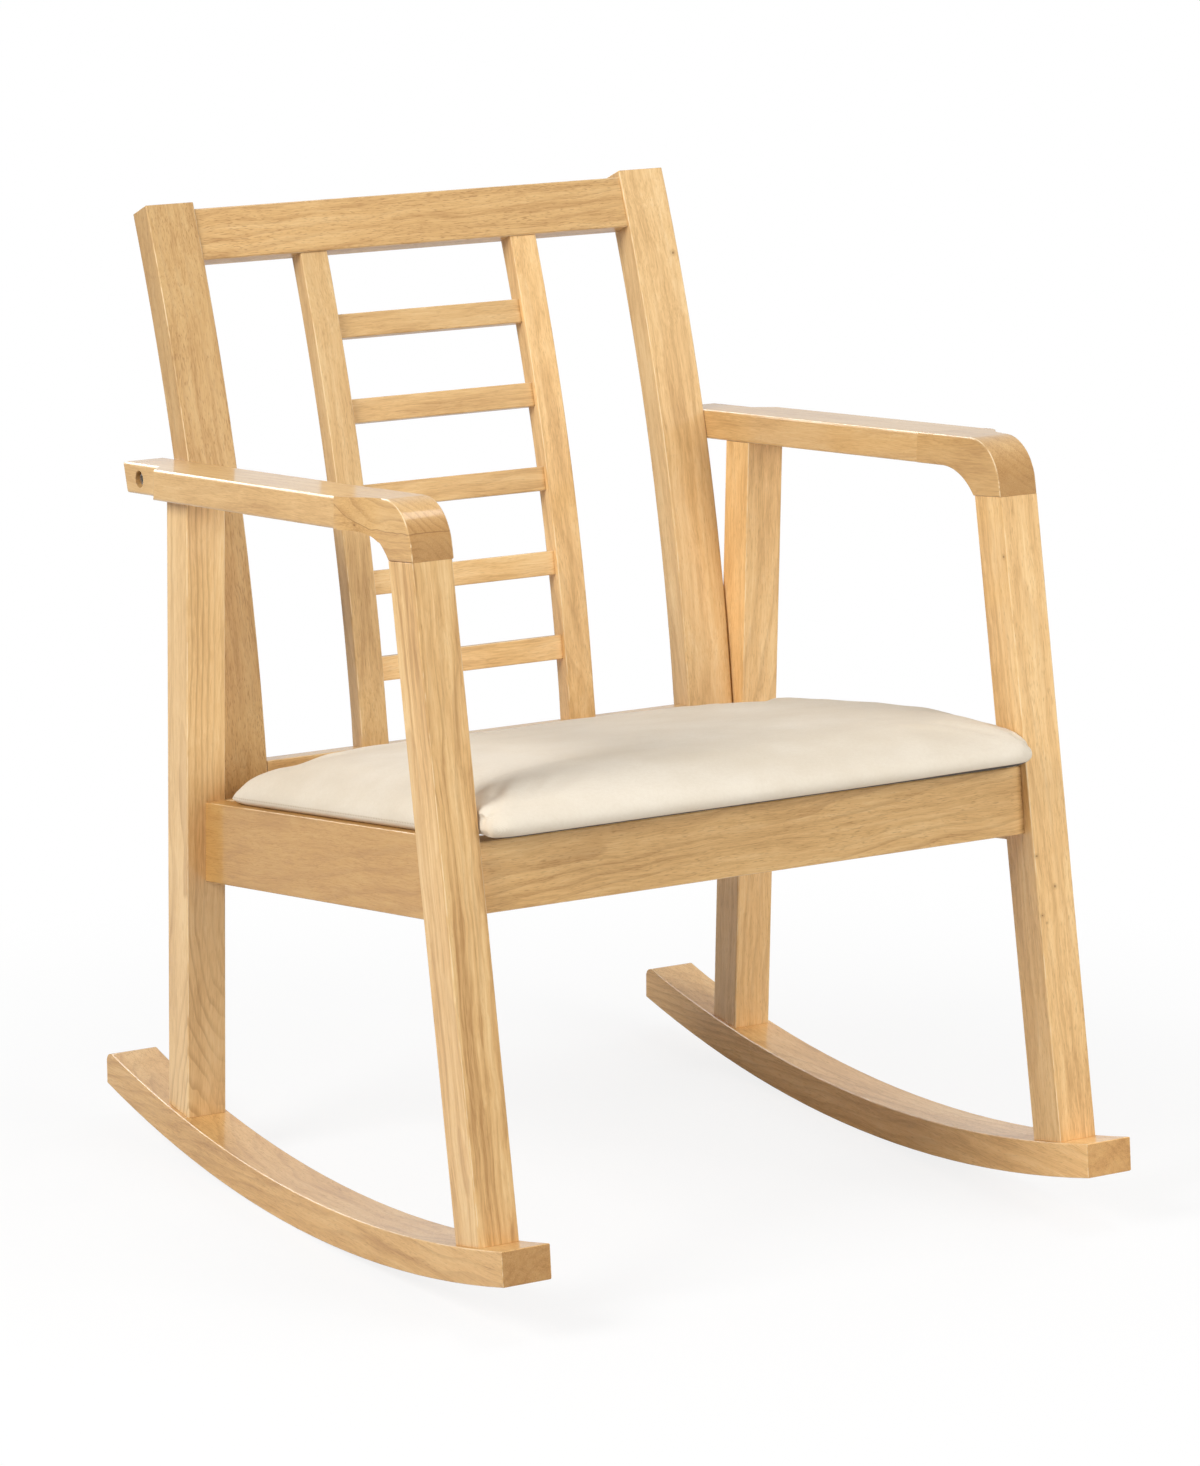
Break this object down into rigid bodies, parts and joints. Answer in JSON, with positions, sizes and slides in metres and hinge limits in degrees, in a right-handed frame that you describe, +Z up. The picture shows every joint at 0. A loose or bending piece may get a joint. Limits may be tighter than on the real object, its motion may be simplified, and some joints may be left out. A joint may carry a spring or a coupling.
{
  "type": "rocking chair",
  "caption": "Open-arm rocking chair in pale hardwood with a ladder back and an upholstered seat, standing on two long curved rockers.",
  "frame": {"origin": "middle of the chair's outline in plan, at the floor", "axes": "+X across the chair to the sitter's left, -Y the way the sitter faces, +Z up"},
  "size_m": [0.6328, 0.722, 0.8253],
  "materials": {
    "frame_wood": "satin lacquer",
    "dowel_wood": "fluted, unfinished",
    "plywood": "sanded plywood",
    "seat_fabric": "cream woven cloth",
    "seat_foam": "foam and wadding",
    "bolt_steel": "blackened",
    "insert_steel": "zinc plated",
    "screw_steel": "zinc plated"
  },
  "bodies": {
    "root": {"back_lower_rail": "frame_wood", "back_top_rail": "frame_wood", "front_seat_rail": "frame_wood", "rear_seat_rail": "frame_wood", "front_braces": "frame_wood", "rear_braces": "frame_wood", "back_slat_1": "frame_wood", "back_slat_2": "frame_wood", "back_slat_3": "frame_wood", "back_slat_4": "frame_wood", "back_slat_5": "frame_wood", "left_arm_corner": "frame_wood", "left_arm_rail": "frame_wood", "left_back_post": "frame_wood", "left_back_stile": "frame_wood", "left_front_leg": "frame_wood", "left_rear_leg": "frame_wood", "left_rocker": "frame_wood", "left_side_rail": "frame_wood", "right_arm_corner": "frame_wood", "right_arm_rail": "frame_wood", "right_back_post": "frame_wood", "right_back_stile": "frame_wood", "right_front_leg": "frame_wood", "right_rear_leg": "frame_wood", "right_rocker": "frame_wood", "right_side_rail": "frame_wood", "arm_dowels": "dowel_wood", "back_dowels": "dowel_wood", "rail_dowels": "dowel_wood", "rocker_dowels": "dowel_wood", "seat_board": "plywood", "seat_cover": "seat_fabric", "seat_foam": "seat_foam", "arm_bolts": "bolt_steel", "back_bolts": "bolt_steel", "arm_washers": "bolt_steel", "back_washers": "bolt_steel", "arm_inserts": "insert_steel", "back_inserts": "insert_steel", "brace_screws": "screw_steel", "seat_screws": "screw_steel"}
  },
  "joints": []
}
